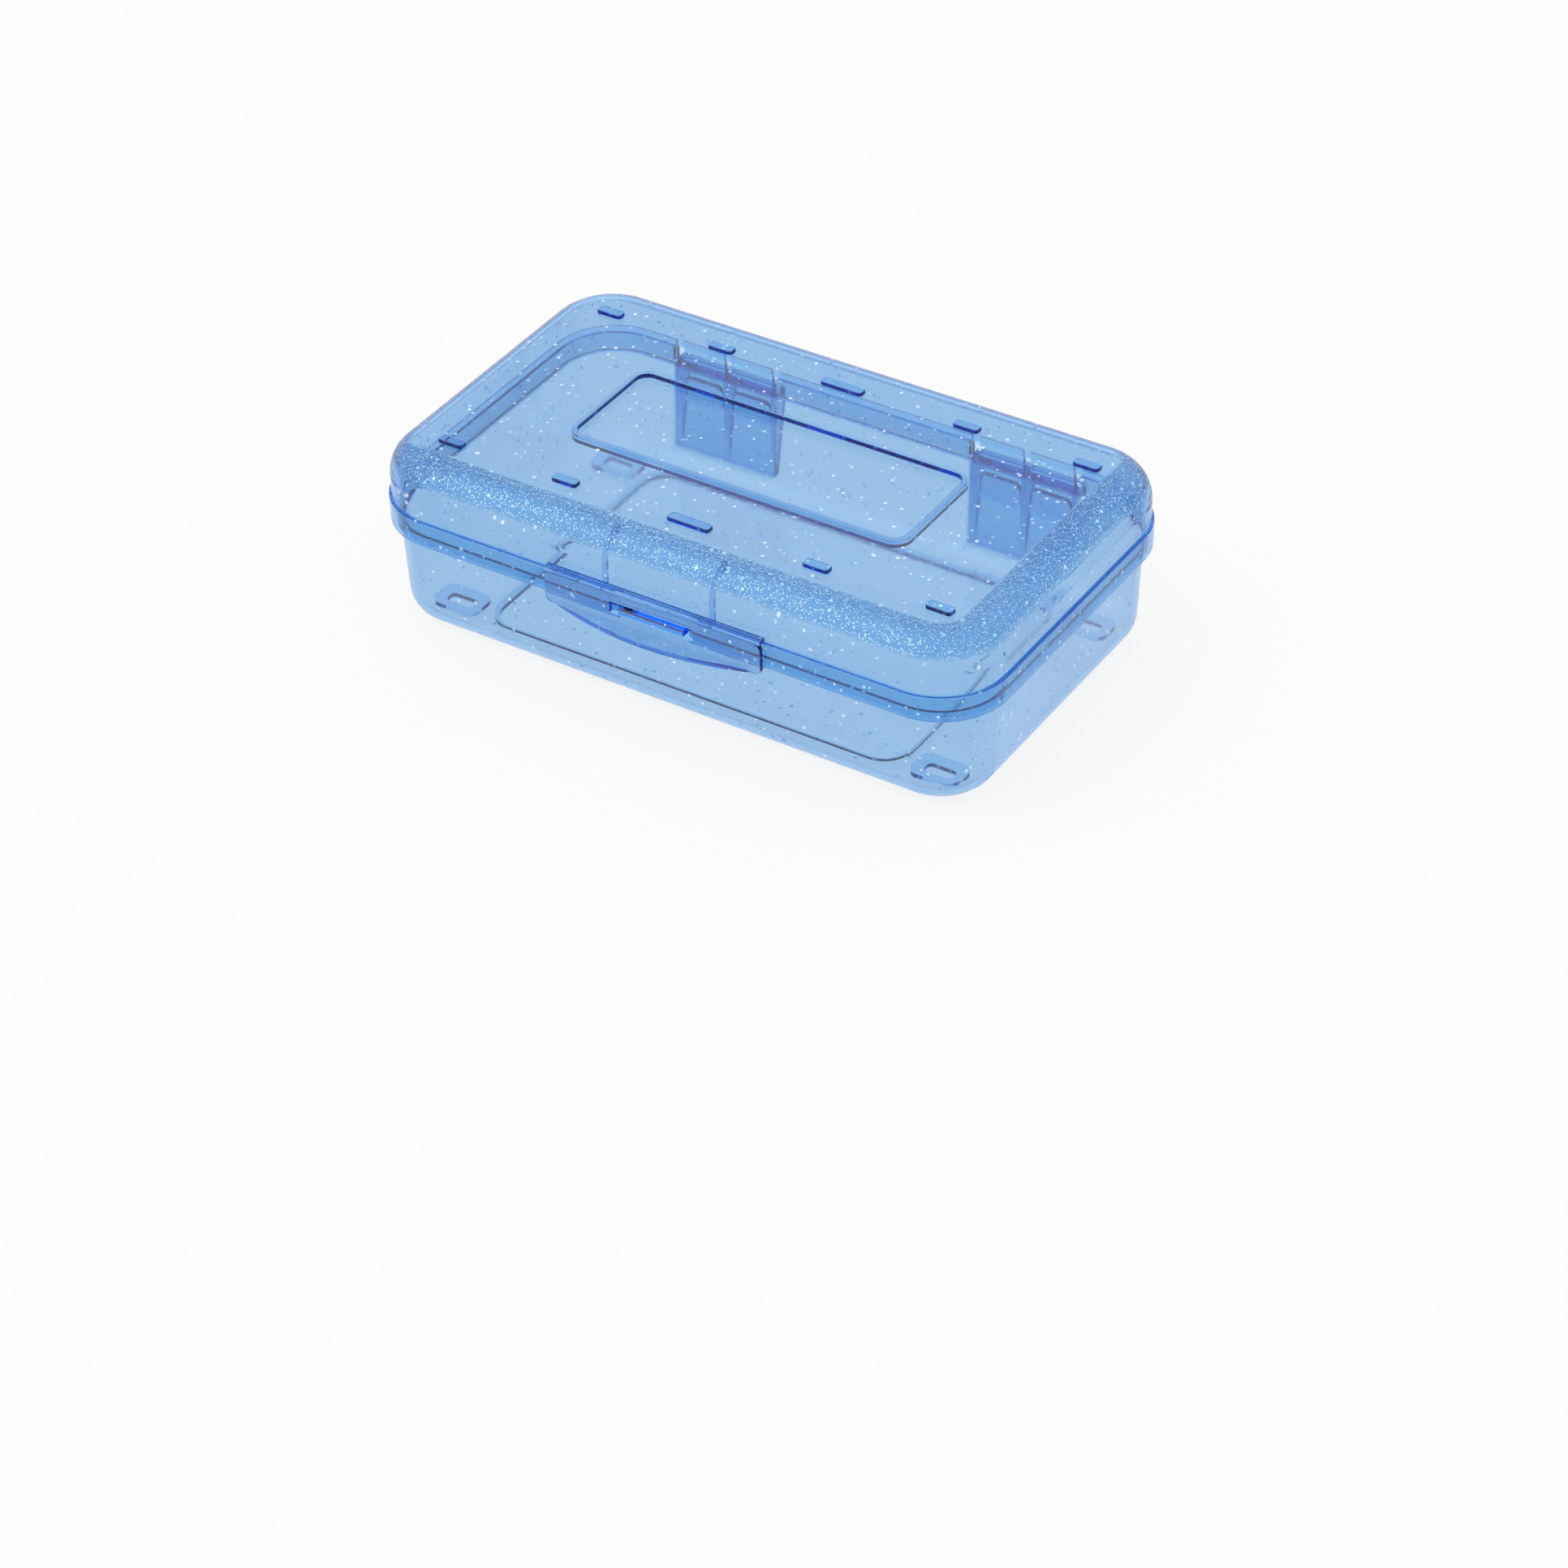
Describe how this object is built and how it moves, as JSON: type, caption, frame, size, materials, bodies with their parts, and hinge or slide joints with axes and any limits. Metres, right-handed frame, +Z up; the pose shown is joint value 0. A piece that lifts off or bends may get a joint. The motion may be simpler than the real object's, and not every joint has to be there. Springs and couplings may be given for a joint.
{
  "type": "pencil box",
  "caption": "Translucent glitter plastic pencil box with rounded corners, a hinged stacking lid, a sunk label panel and a swinging front latch.",
  "frame": {"origin": "on the surface the box stands on, under the middle of its bounding box", "axes": "+X along the length to the right seen from the latch side, +Y to the hinges, +Z up; the latch faces -Y"},
  "size_m": [0.216, 0.1396, 0.0614],
  "materials": {
    "tray_plastic": "translucent blue injection-moulded plastic full of fine white glitter, polished outside",
    "lid_plastic": "translucent blue injection-moulded plastic full of fine white glitter, polished with a fine stipple on the rounded top edge",
    "latch_plastic": "translucent blue injection-moulded plastic with fine white glitter, polished",
    "pin_plastic": "translucent darker blue plastic rod, smooth"
  },
  "bodies": {
    "tray": {"tray": "tray_plastic", "hinge_pin_left": "pin_plastic", "hinge_pin_right": "pin_plastic"},
    "lid": {"lid": "lid_plastic"},
    "latch": {"front_latch": "latch_plastic"}
  },
  "joints": [
    {"name": "lid_hinge", "type": "hinge", "parent": "tray", "child": "lid", "pos_m": [0, 0.06715, 0.0344], "axis": [-1, 0, 0], "range_deg": [0, 180]},
    {"name": "latch_hinge", "type": "hinge", "parent": "lid", "child": "latch", "pos_m": [0, -0.06405, 0.04335], "axis": [-1, 0, 0], "range_deg": [0, 110]}
  ]
}
